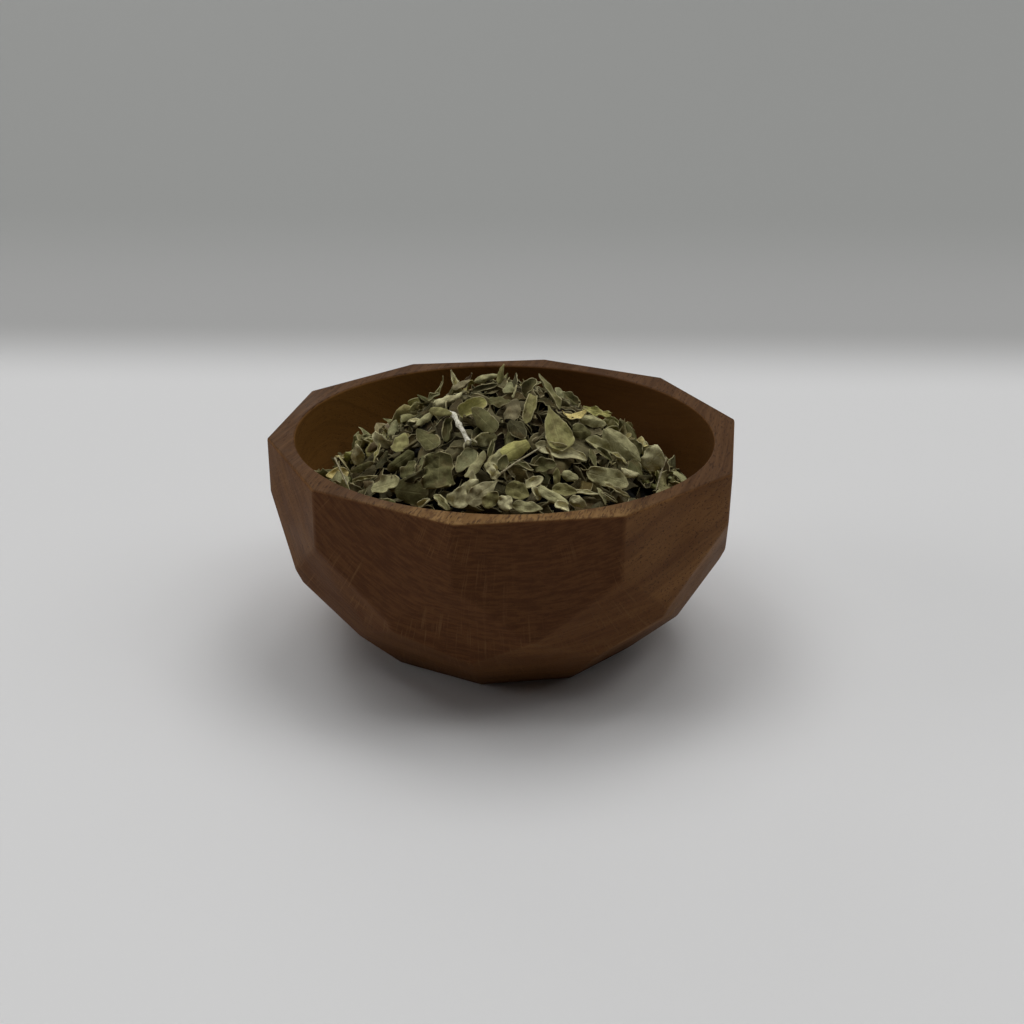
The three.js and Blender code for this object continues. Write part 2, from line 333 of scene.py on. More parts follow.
def bowl_material():
    """Oiled hardwood. Its grain runs from front to back, and its growth layers bow round a heart
    that lay along the grain, a little above the bowl and to the right."""
    shader = Shader("bowl_wood", Roughness=0.5, Specular_IOR_Level=0.05)
    turned = shader.stretch(shader.place, (1.0, 1.0, 1.0), -math.radians(GRAIN_AZIMUTH))
    warp = shader.noise(turned, 22.0, roughness=0.6, output="Color")
    bent = shader.vector("ADD", turned, shader.vector("MULTIPLY", warp, (0.0, 0.0035, 0.0035)))
    aside = shader.math("ADD", shader.axis("Y", bent), GRAIN_HEART_RIGHT * MM)
    under = shader.math("SUBTRACT", GRAIN_HEART_HEIGHT * MM, shader.axis("Z", bent))
    ring = shader.vector("LENGTH", shader.add("CombineXYZ", inputs={"X": aside, "Y": under}), output="Value")
    turn = shader.math("ARCTAN2", aside, under)

    def grain_noise(lengthwise, round_heart, outward, detail, roughness=0.6):
        """Noise with so many waves a metre along the grain and outward, and a radian round the heart."""
        waves = {"X": shader.times(shader.axis("X", bent), lengthwise),
                 "Y": shader.times(turn, round_heart),
                 "Z": shader.times(ring, outward)}
        return shader.noise(shader.add("CombineXYZ", inputs=waves), 1.0, detail, roughness)

    layers = grain_noise(10.0, 3.0, 1100.0, 4.0, 0.7)
    broad = grain_noise(7.0, 2.0, 130.0, 3.0)
    dashes = grain_noise(60.0, 16.0, 1500.0, 3.0)
    rays = grain_noise(90.0, 150.0, 70.0, 1.0)
    strokes = shader.noise(shader.stretch(bent, (320.0, 1100.0, 1100.0)), 1.0, detail=2.0)
    pores = shader.noise(shader.stretch(bent, (330.0, 2300.0, 2300.0)), 1.0, detail=2.0)
    patch = shader.noise(turned, 45.0)

    # How squarely the surface cuts across the grain, faces up or faces the hollow
    grain = (math.cos(math.radians(GRAIN_AZIMUTH)), math.sin(math.radians(GRAIN_AZIMUTH)), 0.0)
    facing = shader.add("NewGeometry", output="Normal")
    across = shader.vector("DOT_PRODUCT", facing, grain, "Value")
    end_grain = shader.span(shader.math("ABSOLUTE", across), 0.4, 0.95)
    inward = shader.vector("DOT_PRODUCT", facing, shader.place, "Value")
    inside = shader.span(inward, -0.02, -0.004, 1.0, 0.0)
    top = shader.span(shader.axis("Z", facing), 0.6, 0.9)
    # The front of the rim's top, where painted light makes it paler
    front_rim_painted_light = shader.times(top, shader.span(shader.axis("Y"), -0.062, -0.046, 1.0, 0.0))

    # Along the grain, across it with its rays, in the hollow, which is lighter on the left as painted light,
    # on the worn rim, and paler on the rim's front as painted light
    colour = shader.tone(broad, 0.3, 0.7, srgb(94, 62, 36), srgb(128, 90, 53))
    colour = shader.tone(layers, 0.35, 0.68, colour, srgb(80, 52, 29), 0.4)
    ends = shader.tone(dashes, 0.38, 0.62, srgb(82, 50, 29), srgb(97, 63, 37))
    ends = shader.tone(layers, 0.4, 0.7, ends, srgb(72, 44, 26), 0.3)
    ray_share = shader.times(shader.span(rays, 0.55, 0.7), shader.span(patch, 0.42, 0.62, 0.0, 0.5))
    ends = shader.mix(ray_share, ends, srgb(122, 88, 58))
    colour = shader.mix(end_grain, colour, ends)
    # The hollow's own golden tone, made lighter on the left wall, which faces the light: painted light
    hollow_tone_and_painted_light = shader.tone(shader.axis("X"), -0.05, 0.03, srgb(124, 86, 40), srgb(96, 62, 28))
    hollow_tone_and_painted_light = shader.tone(layers, 0.4, 0.7, hollow_tone_and_painted_light, srgb(76, 48, 22), 0.3)
    colour = shader.mix(shader.times(inside, 0.8), colour, hollow_tone_and_painted_light)
    worn = shader.tone(layers, 0.35, 0.65, srgb(92, 66, 44), srgb(70, 48, 31))
    colour = shader.mix(shader.times(top, 0.8), colour, worn)
    # Painted light: the front of the rim's top is made paler because it looks brighter lit, not because the
    # wood is paler
    pale = shader.tone(layers, 0.4, 0.62, srgb(146, 113, 70), srgb(122, 90, 52))
    pale = shader.tone(strokes, 0.5, 0.62, pale, srgb(88, 60, 36), 0.8)
    colour = shader.mix(shader.times(front_rim_painted_light, 0.85), colour, pale)
    pits = shader.span(pores, 0.57, 0.66)
    pit_share = shader.times(pits, shader.span(end_grain, 0.2, 0.8, 0.6, 0.25))
    pit_share = shader.times(pit_share, shader.span(inside, 0.0, 1.0, 1.0, 0.35))
    colour = shader.mix(pit_share, colour, srgb(44, 26, 15))

    relief = shader.math("SUBTRACT", shader.times(layers, 0.3), pits)
    return shader.set(Base_Color=colour, Roughness=shader.span(patch, 0.3, 0.7, 0.5, 0.68),
                      Normal=shader.bump(relief, 0.00008, 0.5))


def outside_hull():
    """The bowl's outside as a closed body of flat facets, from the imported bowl's corners."""
    hull = bmesh.new()
    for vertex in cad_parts["bowl"].data.vertices:
        hull.verts.new(vertex.co)
    made = bmesh.ops.convex_hull(hull, input=hull.verts)
    spare = {e for e in made["geom_interior"] + made["geom_unused"] if isinstance(e, bmesh.types.BMVert)}
    bmesh.ops.delete(hull, geom=list(spare), context="VERTS")
    bmesh.ops.remove_doubles(hull, verts=hull.verts, dist=0.6 * MM)
    bmesh.ops.dissolve_limit(hull, angle_limit=math.radians(1.2), verts=hull.verts, edges=hull.edges)
    return hull


def bowl_piece():
    hull = outside_hull()
    bmesh.ops.bevel(hull, geom=list(hull.edges), offset=EDGE_ROUNDING * MM, offset_type="OFFSET",
                    segments=3, profile=0.5, affect="EDGES", clamp_overlap=True)
    bmesh.ops.recalc_face_normals(hull, faces=hull.faces)
    mesh = bpy.data.meshes.new("faceted_bowl")
    hull.to_mesh(mesh)
    hull.free()
    bowl = put_in_scene("faceted_bowl", mesh)
    material = bowl_material()
    cutter = mesh_object("hollow_cutter", *hollow_mesh(), material)
    cut = bowl.modifiers.new("hollow", "BOOLEAN")
    cut.operation = "DIFFERENCE"
    cut.solver = "EXACT"
    cut.object = cutter
    weight = bowl.modifiers.new("weight", "WEIGHTED_NORMAL")
    weight.weight = 100
    for polygon in (*mesh.polygons, *cutter.data.polygons):
        polygon.use_smooth = True
    seen = bowl.evaluated_get(bpy.context.evaluated_depsgraph_get())
    bowl.data = bpy.data.meshes.new_from_object(seen)
    bowl.data.name = "faceted_bowl"
    bowl.modifiers.clear()
    bpy.data.objects.remove(cutter)
    bowl.data.materials.clear()
    bowl.data.materials.append(material)
    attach(bowl, "root")
    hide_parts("bowl")


# The leaves

class Leaves:
    """Measures of a number of dried leaves, one value each, in millimetres and radians.

    A leaf lies along +X from its stalk, with its upper face up. fold lifts both halves from the
    midrib, left_curl and right_curl roll them, margin turns their edges, and arch and tip_curl
    bend the midrib. start and end are shares of the length: a start below 0 leaves a stalk, and
    a torn leaf starts or ends early, along a jagged line."""

    fields = ("length", "width", "base_power", "tip_power", "uneven", "fold", "left_curl", "right_curl",
              "margin", "curl_change", "arch", "tip_curl", "twist", "ripple", "wrinkle", "start", "end",
              "jag")

    def __init__(self, count):
        self.count = count
        for field in self.fields:
            setattr(self, field, np.zeros(count))
        self.base_power[:] = 0.5
        self.tip_power[:] = 0.7
        self.end[:] = 1.0

    def column(self, field):
        return getattr(self, field)[:, None, None]


def random_leaves(count, smallest, largest, torn):
    """Leaves of every kind in the heap: cupped, folded, rolled, wavy, flat and torn."""
    leaves = Leaves(count)
    leaves.length = rng.triangular(smallest, 0.4 * smallest + 0.6 * largest, largest, count)
    leaves.width = leaves.length * rng.uniform(0.5, 0.85, count)
    leaves.base_power = rng.uniform(0.4, 0.8, count)
    leaves.tip_power = rng.uniform(0.4, 1.0, count)
    leaves.uneven = rng.uniform(0.04, 0.13, count)
    leaves.fold = rng.normal(0.2, 0.3, count)
    curl = rng.normal(0.3, 1.5, count)
    leaves.left_curl = curl + rng.normal(0, 0.5, count)
    leaves.right_curl = curl + rng.normal(0, 0.5, count)
    rolled = rng.random(count) < 0.2
    leaves.left_curl[rolled] += rng.uniform(0.8, 2.2, rolled.sum())
    leaves.right_curl[rolled] += rng.uniform(0.5, 1.8, rolled.sum())
    leaves.margin = rng.normal(0.3, 0.9, count)
    leaves.curl_change = rng.uniform(-0.9, 0.9, count)
    leaves.arch = rng.normal(0.0, 0.5, count)
    leaves.tip_curl = rng.normal(0.2, 1.0, count)
    leaves.twist = rng.normal(0, 0.6, count)
    leaves.ripple = np.abs(rng.normal(0, 0.12, count))
    leaves.wrinkle = rng.uniform(0.06, 0.18, count)
    is_torn = rng.random(count) < torn
    torn_base = is_torn & (rng.random(count) < 0.5)
    torn_tip = is_torn & ~torn_base
    stalk = rng.uniform(0.04, 0.2, count) * (rng.random(count) < 0.6)
    leaves.start = np.where(torn_base, rng.uniform(0.15, 0.4, count), -stalk)
    leaves.end = np.where(torn_tip, rng.uniform(0.5, 0.85, count), 1.0)
    leaves.jag = np.where(is_torn, rng.uniform(0.03, 0.09, count), 0.0)
    return leaves


def half_section(leaves, outline, half, side):
    """One half of the leaf's section: how far out and how high each column of points lies.

    The half starts at the midrib, side gives its columns' shares of the half width, and each
    stretch between two columns leans by the fold, the curl so far out and the turned margin."""
    curl = leaves.column("right_curl") if side[-1] > 0 else leaves.column("left_curl")
    shares = np.abs(side)
    middles = (shares[1:] + shares[:-1]) / 2
    edge = np.clip((middles - 0.6) / 0.4, 0, 1) ** 2
    spread = np.minimum(outline + 0.15, 1)
    lean = leaves.column("fold") + curl * middles * spread + leaves.column("margin") * edge
    run = np.diff(shares) * half
    out = np.cumsum(np.cos(lean) * run, -1)
    up = np.cumsum(np.sin(lean) * run, -1)
    zero = np.zeros(out.shape[:2] + (1,))
    return np.concatenate([zero, out], -1) * np.sign(side[-1]), np.concatenate([zero, up], -1)


COLUMN_SHARES = np.array([-1, -0.88, -0.64, -0.34, 0, 0.34, 0.64, 0.88, 1])
RIB_SHARES = np.linspace(-0.35, 1, 90)
STALK_HALF_WIDTH = 0.16


def midribs(leaves):
    """Heading and course of the midribs, which turn by their arch and curl at their tips."""
    tip = np.maximum(RIB_SHARES - 0.5, 0) ** 2 * 4
    heading = leaves.arch[:, None] * 2 * (RIB_SHARES - 0.5) + leaves.tip_curl[:, None] * tip
    step = (RIB_SHARES[1] - RIB_SHARES[0]) * leaves.length[:, None]
    return heading, np.cumsum(np.cos(heading), 1) * step, np.cumsum(np.sin(heading), 1) * step


def leaf_sheets(leaves, rows):
    """The middle surfaces of leaves at their own origin, and the place of each point on its leaf."""
    columns = len(COLUMN_SHARES)
    middle = columns // 2
    side = COLUMN_SHARES[None, None, :]
    down = np.linspace(0, 1, rows)[None, :, None]
    tear = rng.normal(0, 1, (2, leaves.count, 1, columns))
    start = leaves.column("start") + leaves.column("jag") * tear[0]
    end = leaves.column("end") - leaves.column("jag") * np.abs(tear[1])
    share = start + (end - start) * down
    inside = np.clip(share, 0, 1)

    p = leaves.column("base_power")
    q = leaves.column("tip_power")
    widest = p / (p + q)
    outline = inside ** p * (1 - inside) ** q / (widest ** p * (1 - widest) ** q)
    start_of = 2 * math.pi * rng.random((3, 2, leaves.count, 1, 1))
    waves = np.sin(8 * share + start_of[0]) + 0.6 * np.sin(17 * share + start_of[1])
    waves = waves + 0.4 * np.sin(31 * share + start_of[2])
    uneven = 1 + leaves.column("uneven") * np.where(side < 0, waves[0], waves[1])
    half = np.maximum(leaves.column("width") / 2 * outline * uneven, STALK_HALF_WIDTH)
    row_outline = outline[..., middle:middle + 1]
    change = 1 + leaves.column("curl_change") * (inside[..., middle:middle + 1] - 0.5)
    left_out, left_up = half_section(leaves, row_outline * change, half[..., middle::-1][..., 1:],
                                     COLUMN_SHARES[middle::-1])
    right_out, right_up = half_section(leaves, row_outline * change, half[..., middle:][..., 1:],
                                       COLUMN_SHARES[middle:])
    across = np.concatenate([left_out[..., :0:-1], right_out], -1)
    lift = np.concatenate([left_up[..., :0:-1], right_up], -1)

    # Ripples along the edges, and wrinkles all over
    start_of = 2 * math.pi * rng.random((4, leaves.count, 1, 1))
    size = leaves.column("length")
    lift = lift + leaves.column("ripple") * half * side ** 2 * np.sin(13 * share + 2 * side + start_of[0])
    wrinkles = np.sin(2.1 * size * share + 1.2 * side * half + start_of[1])
    wrinkles = wrinkles + np.sin(1.6 * size * share - 2.4 * across + start_of[2])
    wrinkles = wrinkles + np.sin(3.4 * across + start_of[3])
    lift = lift + leaves.column("wrinkle") * wrinkles * np.minimum(outline, 1)

    heading, rib_x, rib_z = midribs(leaves)
    at = (share - RIB_SHARES[0]) / (RIB_SHARES[1] - RIB_SHARES[0])
    low = np.clip(at.astype(int), 0, len(RIB_SHARES) - 2)
    part = np.clip(at - low, 0, 1)
    number = np.arange(leaves.count)[:, None, None]

    def along(values):
        return values[number, low] * (1 - part) + values[number, low + 1] * part

    turn = leaves.column("twist") * (share - 0.4)
    wide = across * np.cos(turn) - lift * np.sin(turn)
    high = across * np.sin(turn) + lift * np.cos(turn)
    course = along(heading)
    sheet = np.stack([along(rib_x) - high * np.sin(course), wide, along(rib_z) + high * np.cos(course)], -1)
    place = np.stack([share, np.broadcast_to(side, share.shape)], -1)
    return sheet, place


def centred(sheets):
    return sheets - sheets.mean(axis=(1, 2), keepdims=True)


def sheet_normals(sheet):
    """Unit normals of a leaf's middle surface, or of many."""
    lengthwise = np.gradient(sheet, axis=-3)
    crosswise = np.gradient(sheet, axis=-2)
    normal = np.cross(lengthwise, crosswise)
    return normal / np.maximum(np.linalg.norm(normal, axis=-1, keepdims=True), 1e-9)


def leaf_faces(rows, columns):
    """Faces of one leaf: upper face, lower face and the rim between them."""
    def at(layer, row, column):
        return (layer * rows + row) * columns + column
    faces = []
    for i in range(rows - 1):
        for j in range(columns - 1):
            faces.append((at(0, i, j), at(0, i + 1, j), at(0, i + 1, j + 1), at(0, i, j + 1)))
            faces.append((at(1, i, j), at(1, i, j + 1), at(1, i + 1, j + 1), at(1, i + 1, j)))
    border = [(0, j) for j in range(columns)]
    border += [(i, columns - 1) for i in range(1, rows)]
    border += [(rows - 1, j) for j in range(columns - 2, -1, -1)]
    border += [(i, 0) for i in range(rows - 2, 0, -1)]
    for here, there in zip(border, border[1:] + border[:1]):
        faces.append((at(0, *here), at(0, *there), at(1, *there), at(1, *here)))
    return np.array(faces)


def leaf_piece(name, sheets, places, colours, material, thickness=0.3):
    """One piece from the placed middle surfaces of many leaves."""
    count, rows, columns, _ = sheets.shape
    normals = sheet_normals(sheets)
    edge = np.ones((rows, columns))
    edge[0] = edge[-1] = 0.6
    edge[:, 0] = edge[:, -1] = 0.6
    offset = normals * (edge * thickness / 2)[None, :, :, None]
    points = np.stack([sheets + offset, sheets - offset], 1)
    per_leaf = 2 * rows * columns
    faces = (leaf_faces(rows, columns)[None] + np.arange(count)[:, None, None] * per_leaf).reshape(-1, 4)
    piece = mesh_object(name, points.reshape(-1, 3), faces.tolist(), material, smooth_below=48)

    place = np.zeros((count, 2, rows, columns, 3))
    place[..., :2] = places[:, None]
    place[:, 1, :, :, 2] = 1.0
    layer = piece.data.attributes.new("leaf_place", "FLOAT_VECTOR", "POINT")
    layer.data.foreach_set("vector", place.astype(np.float32).ravel())
    tints = np.broadcast_to(colours[:, None, None, None, :], (count, 2, rows, columns, 4))
    layer = piece.data.attributes.new("leaf_colour", "FLOAT_COLOR", "POINT")
    layer.data.foreach_set("color", tints.astype(np.float32).ravel())
    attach(piece, "root")
    return piece


def leaf_material(name):
    """A dried leaf: its own tint, a paler felted underside, veins, gland pits and a pale edge, partly the
    dry margin's colour and partly painted highlight.
    """
    shader = Shader(name, Roughness=0.7, Specular_IOR_Level=0.12)
    leaf = shader.add("Attribute", output="Vector", attribute_name="leaf_place")
    tint = shader.add("Attribute", output="Color", attribute_name="leaf_colour")
    share = shader.axis("X", leaf)
    below = shader.axis("Z", leaf)
    from_rib = shader.math("ABSOLUTE", shader.axis("Y", leaf))

    mottle = shader.noise(shader.place, 420.0, detail=4.0, roughness=0.6)
    grit = shader.noise(shader.place, 2200.0, detail=2.0)
    blotch = shader.noise(shader.place, 230.0, detail=2.0)
    rib = shader.span(from_rib, 0.0, 0.09, 1.0, 0.0)
    slant = shader.math("SUBTRACT", shader.times(share, 7.0), shader.times(from_rib, 2.6))
    vein_wave = shader.math("ABSOLUTE", shader.math("SUBTRACT", shader.math("FRACT", slant), 0.5))
    veins = shader.span(vein_wave, 0.0, 0.1, 0.5, 0.0)
    lines = shader.times(shader.math("MAXIMUM", rib, veins), shader.span(mottle, 0.35, 0.6, 0.3, 1.0))

    pale = shader.mix(0.6, tint, srgb(164, 156, 118))
    colour = shader.mix(shader.times(below, 0.5), tint, pale)
    colour = shader.tone(blotch, 0.5, 0.68, colour, srgb(100, 82, 52), 0.45)
    shade = shader.tone(mottle, 0.34, 0.66, (0.66, 0.64, 0.58, 1.0), (1.2, 1.19, 1.15, 1.0))
    colour = shader.mix(0.7, colour, shade, "MULTIPLY")
    shade = shader.tone(grit, 0.4, 0.6, (0.82, 0.81, 0.78, 1.0), (1.12, 1.12, 1.1, 1.0))
    colour = shader.mix(0.4, colour, shade, "MULTIPLY")
    colour = shader.mix(shader.times(lines, 0.22), colour, srgb(176, 168, 120))
    # The pale edge: partly the dry margin's own colour, partly painted highlight where a rolled margin
    # catches the light
    rim = shader.math("MAXIMUM", shader.span(from_rib, 0.87, 1.0), shader.span(share, 0.95, 1.0))
    rim = shader.times(rim, shader.span(blotch, 0.35, 0.6, 0.15, 0.7))
    colour = shader.mix(rim, colour, srgb(206, 196, 150))

    height = shader.math("ADD", shader.times(mottle, 0.8), shader.times(grit, 0.08))
    height = shader.math("SUBTRACT", height, shader.times(lines, 0.3))
    return shader.set(Base_Color=colour, Normal=shader.bump(height, 0.0004, 0.75))


# The heap

CELL = 0.8
GRID = int(2 * (MOUTH_RADIUS + 3) / CELL)
# How much of a leaf's height fills the heap, and how much of it may lie on a kept leaf
MOST_RISE = 1.8
RISE_SHARE = 0.7
MOST_KEPT = 0.08
# The cone that is filled under a leaf that stands proud
FILL_DEPTH = 1.7
FILL_SLOPE = 0.55
# The percentages of a leaf that may sink in where it drops, where it is slid along and where it stands proud
DROPPED = 5
SLID = 4
PROUD = 8


def from_axis(x, y):
    return np.hypot(x - MOUTH_CENTRE[0], y - MOUTH_CENTRE[1])


def heap_surface(x, y):
    """Height that the leaf tips reach over a point of the plan."""
    edge = float(hollow_radius(-HEAP_AT_WALL, WALL_GAP))
    share = np.minimum(from_axis(x, y) / edge, 1) ** HEAP_POWER
    return BOWL_HEIGHT + HEAP_AT_WALL + (HEAP_TOP - HEAP_AT_WALL) * (1 - share)


def wall_radius(z):
    """How far from the mouth's axis a leaf may reach at a height."""
    depth = BOWL_HEIGHT - z
    return np.where(depth > 0, hollow_radius(depth, WALL_GAP), MOUTH_RADIUS - WALL_GAP)


class Heap:
    """The heap as it grows, over a fine grid of the plan.

    goal is the height to be reached and lift what is added to it under leaves that stand proud.
    height is how high the leaves are packed, top how high they reach, open the cells clear of the
    wall, and kept the cells that later leaves keep off."""

    def __init__(self):
        centres = (np.arange(GRID) + 0.5) * CELL - GRID * CELL / 2
        self.x, self.y = np.meshgrid(centres, centres, indexing="ij")
        self.goal = heap_surface(self.x, self.y)
        self.height = self.goal - CORE_DEPTH + 0.5
        self.open = from_axis(self.x, self.y) < wall_radius(self.goal - 2.0) - 2.0
        self.kept = np.zeros(self.x.shape, bool)
        self.lift = np.zeros(self.x.shape)
        self.top = self.height.copy()

    def cells(self, points):
        index = np.floor(points[..., :2] / CELL + GRID / 2).astype(int)
        index = np.clip(index, 0, GRID - 1)
        return index[..., 0], index[..., 1]

    def slope_normal(self, x, y):
        step = 1.0
        rise_x = (heap_surface(x + step, y) - heap_surface(x - step, y)) / (2 * step)
        rise_y = (heap_surface(x, y + step) - heap_surface(x, y - step)) / (2 * step)
        return unit(np.array([-rise_x, -rise_y, 1.0]))

    def low_place(self, above):
        """A point of the plan where the heap is still low, the lower the likelier."""
        want = np.clip(self.goal + self.lift + above - self.height, 0.02, None) ** 2
        want = want * (self.open & ~self.kept)
        sums = np.cumsum(want.ravel())
        cell = int(np.searchsorted(sums, rng.random() * sums[-1]))
        i, j = divmod(min(cell, GRID * GRID - 1), GRID)
        return np.array([self.x[i, j], self.y[i, j]]) + rng.uniform(-CELL, CELL, 2) / 2

    def gap(self, sheet, surface, percent):
        """How far a placed sheet, but for a small percentage of it, is above the heap's height or top."""
        return np.percentile(sheet[..., 2] - surface[self.cells(sheet)], percent)

    def fits(self, sheet, above):
        """Whether a placed sheet keeps off the wall, under the heap's surface and off the kept leaves."""
        x, y, z = np.moveaxis(sheet, -1, 0)
        if np.any(from_axis(x, y) > wall_radius(z)):
            return False
        cells = self.cells(sheet)
        if np.any(z > heap_surface(x, y) + self.lift[cells] + above):
            return False
        return bool(self.kept[cells].mean() < MOST_KEPT)

    def cover(self, sheet):
        """Raises the surface where a leaf now lies, though a steep leaf doesn't fill what is under it."""
        cells = self.cells(sheet)
        rise = np.clip(sheet[..., 2] - self.height[cells], 0, MOST_RISE) * RISE_SHARE
        np.maximum.at(self.height, cells, self.height[cells] + rise)
        np.maximum.at(self.top, cells, sheet[..., 2])

    def keep(self, sheet):
        """Keeps later leaves off this one."""
        self.kept[self.cells(sheet)] = True

    def fill_under(self, sheet):
        """Raises the heap's surface in a cone under a leaf that stands proud, for later leaves to fill."""
        points = sheet.reshape(-1, 3)
        away = np.hypot(self.x[..., None] - points[:, 0], self.y[..., None] - points[:, 1])
        wanted = (points[:, 2] - FILL_DEPTH - FILL_SLOPE * away).max(-1)
        self.lift = np.maximum(self.lift, wanted - self.goal)


def frame_of(along, upper):
    """Axes of a leaf that points along a direction, with its upper face to one side."""
    along = unit(along)
    across = unit(np.cross(upper, along))
    return np.stack([along, across, np.cross(along, across)], 1)


def random_frame(normal, spread):
    """Axes of a leaf that lies on a slope, turned at random and tilted by a random angle."""
    way = rng.normal(0, 1, 3)
    way = unit(way - way @ normal * normal)
    tilt = abs(rng.normal(0, spread))
    leaning = normal * math.cos(tilt) + way * math.sin(tilt)
    side = rng.normal(0, 1, 3)
    side -= side @ leaning * leaning
    upper = leaning if rng.random() < 0.62 else -leaning
    return frame_of(side, upper)


def lay_leaves(heap, sheets, spread, above, tries=8):
    """Drops leaves one by one on the lowest places of the heap, and gives back those that found room."""
    placed = []
    for number, sheet in enumerate(sheets):
        for _ in range(tries):
            spot = heap.low_place(above - 2.0)
            turned = sheet @ random_frame(heap.slope_normal(*spot), spread).T
            turned = turned + np.array([*spot, heap_surface(*spot)])
            turned[..., 2] -= heap.gap(turned, heap.height, DROPPED)
            if heap.fits(turned, above):
                heap.cover(turned)
                placed.append((number, turned))
                break
    numbers = np.array([number for number, _ in placed])
    return numbers, np.array([sheet for _, sheet in placed])


# The seen leaves' tints were matched to how bright each leaf looks where it lies, so they hold painted light
# and shade besides each leaf's own colour: the lightest green is mostly painted light, the blackest green
# mostly painted shade
TINTS = {
    "olive": srgb(150, 145, 96),
    "grey_green": srgb(150, 149, 110),
    "dark_green": srgb(100, 98, 62),
    "deep_green": srgb(108, 105, 68),
    "painted_shade_green": srgb(72, 68, 42),
    "pale_green": srgb(188, 184, 138),
    "painted_light_green": srgb(230, 224, 178),
    "yellow_green": srgb(184, 180, 112),
    "sage": srgb(166, 162, 108),
    "brown_grey": srgb(146, 137, 106),
    "brown": srgb(82, 62, 44),
    "straw": srgb(240, 222, 150),
}
TINT_SHARES = {"olive": 0.3, "grey_green": 0.24, "dark_green": 0.14, "pale_green": 0.1,
               "yellow_green": 0.08, "brown_grey": 0.08, "brown": 0.06}


def random_tints(count):
    """Colours of leaves: grey-green to olive, a few yellow-green and a few brownish."""
    colours = np.array([TINTS[name] for name in TINT_SHARES])
    picked = colours[rng.choice(len(colours), count, p=list(TINT_SHARES.values()))]
    shade = rng.lognormal(0, 0.22, (count, 1))
    drift = rng.normal(1, 0.05, (count, 3))
    tints = np.ones((count, 4))
    tints[:, :3] = picked[:, :3] * shade * drift
    return tints


# The leaves that stand out in the photograph

def seen_leaf(base, tip, width, tint, **bends):
    """The pixels where a leaf's ends are seen, its width in millimetres, its tint and how it is bent.

    Besides the measures of Leaves, curl rolls both halves and roll turns the leaf about its length, in
    degrees. face is 0 for a leaf that lies flat on the heap's slope and 1 for one that faces the camera.
    stand lifts the tip towards the camera, sink lowers the laid leaf, and over lays it over the twig."""
    return {"base": base, "tip": tip, "width": width, "tint": tint, **bends}


